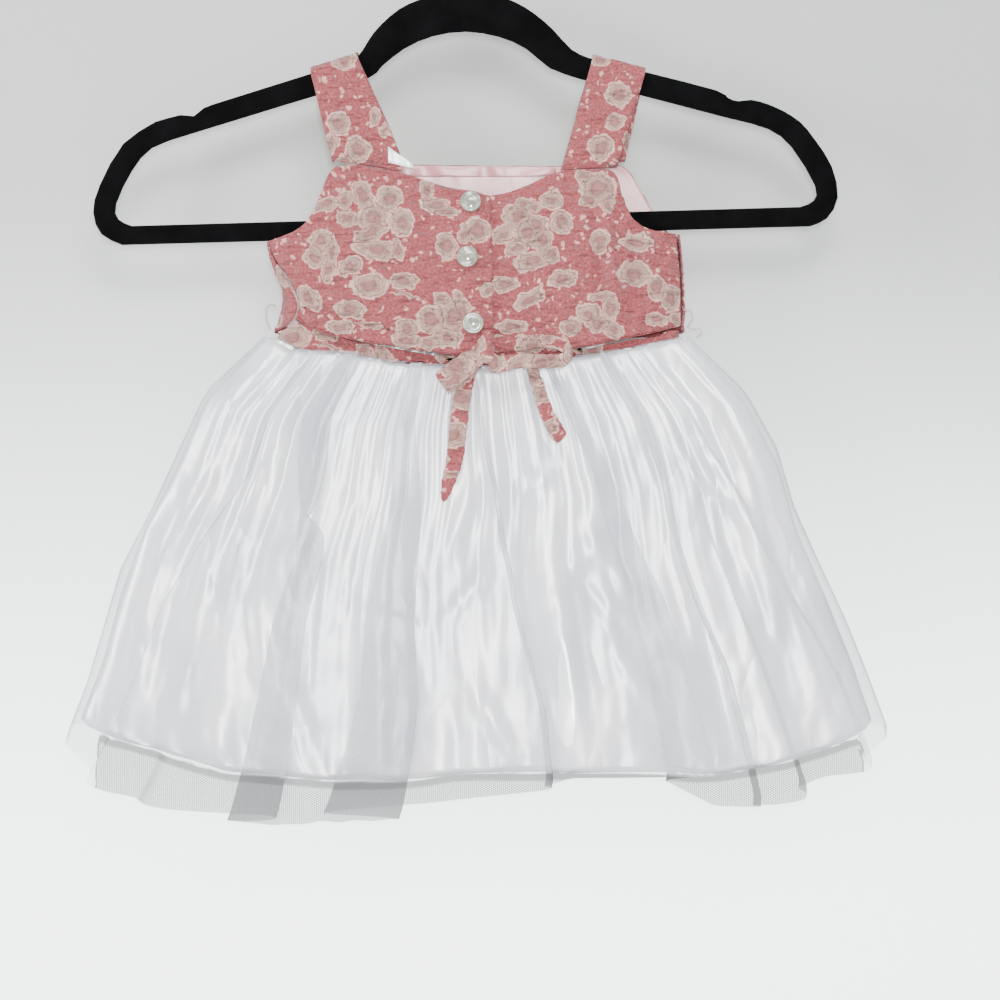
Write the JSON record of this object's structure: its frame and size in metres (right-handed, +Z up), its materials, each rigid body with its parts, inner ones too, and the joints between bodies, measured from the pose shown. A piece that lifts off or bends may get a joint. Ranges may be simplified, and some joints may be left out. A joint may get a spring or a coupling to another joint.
{
  "type": "toddler party dress on a clothes hanger",
  "caption": "Sleeveless toddler party dress with a printed buttoned bodice, waist tie and gathered tulle skirt over satin, hung by its straps on a flat black flocked clothes hanger.",
  "frame": {"origin": "the point inside the top of the hanger's hook where a rail carries it", "axes": "+X to the wearer's left (the viewer's right), -Y out of the dress's front, +Z up"},
  "size_m": [0.4916, 0.0409, 0.5815],
  "materials": {
    "printed_knit": "crinkled cotton knit printed with greyish flowers on coral pink",
    "pink_satin": "soft satin",
    "white_satin": "soft satin",
    "tulle": "fine sheer net",
    "pearl": "pearly gloss",
    "white_thread": "twisted thread",
    "black_flock": "velvet flock over moulded plastic",
    "steel": "plated wire"
  },
  "bodies": {
    "root": {"back_lining": "pink_satin", "back_neck_facing": "pink_satin", "bodice_back": "printed_knit", "bodice_front_button_side": "printed_knit", "bodice_front_buttonhole_side": "printed_knit", "bow_knot": "printed_knit", "bow_loop_left": "printed_knit", "bow_loop_right": "printed_knit", "bow_tail_left": "printed_knit", "bow_tail_right": "printed_knit", "button_1": "pearl", "button_2": "pearl", "button_3": "pearl", "front_lining_corner": "white_satin", "hanger_frame": "black_flock", "hanger_hook": "steel", "skirt_lining": "white_satin", "skirt_tulle": "tulle", "strap_left": "printed_knit", "strap_right": "printed_knit", "thread_loop_left": "white_thread", "thread_loop_right": "white_thread", "tie_band_left": "printed_knit", "tie_band_right": "printed_knit", "waistband": "printed_knit"}
  },
  "joints": []
}
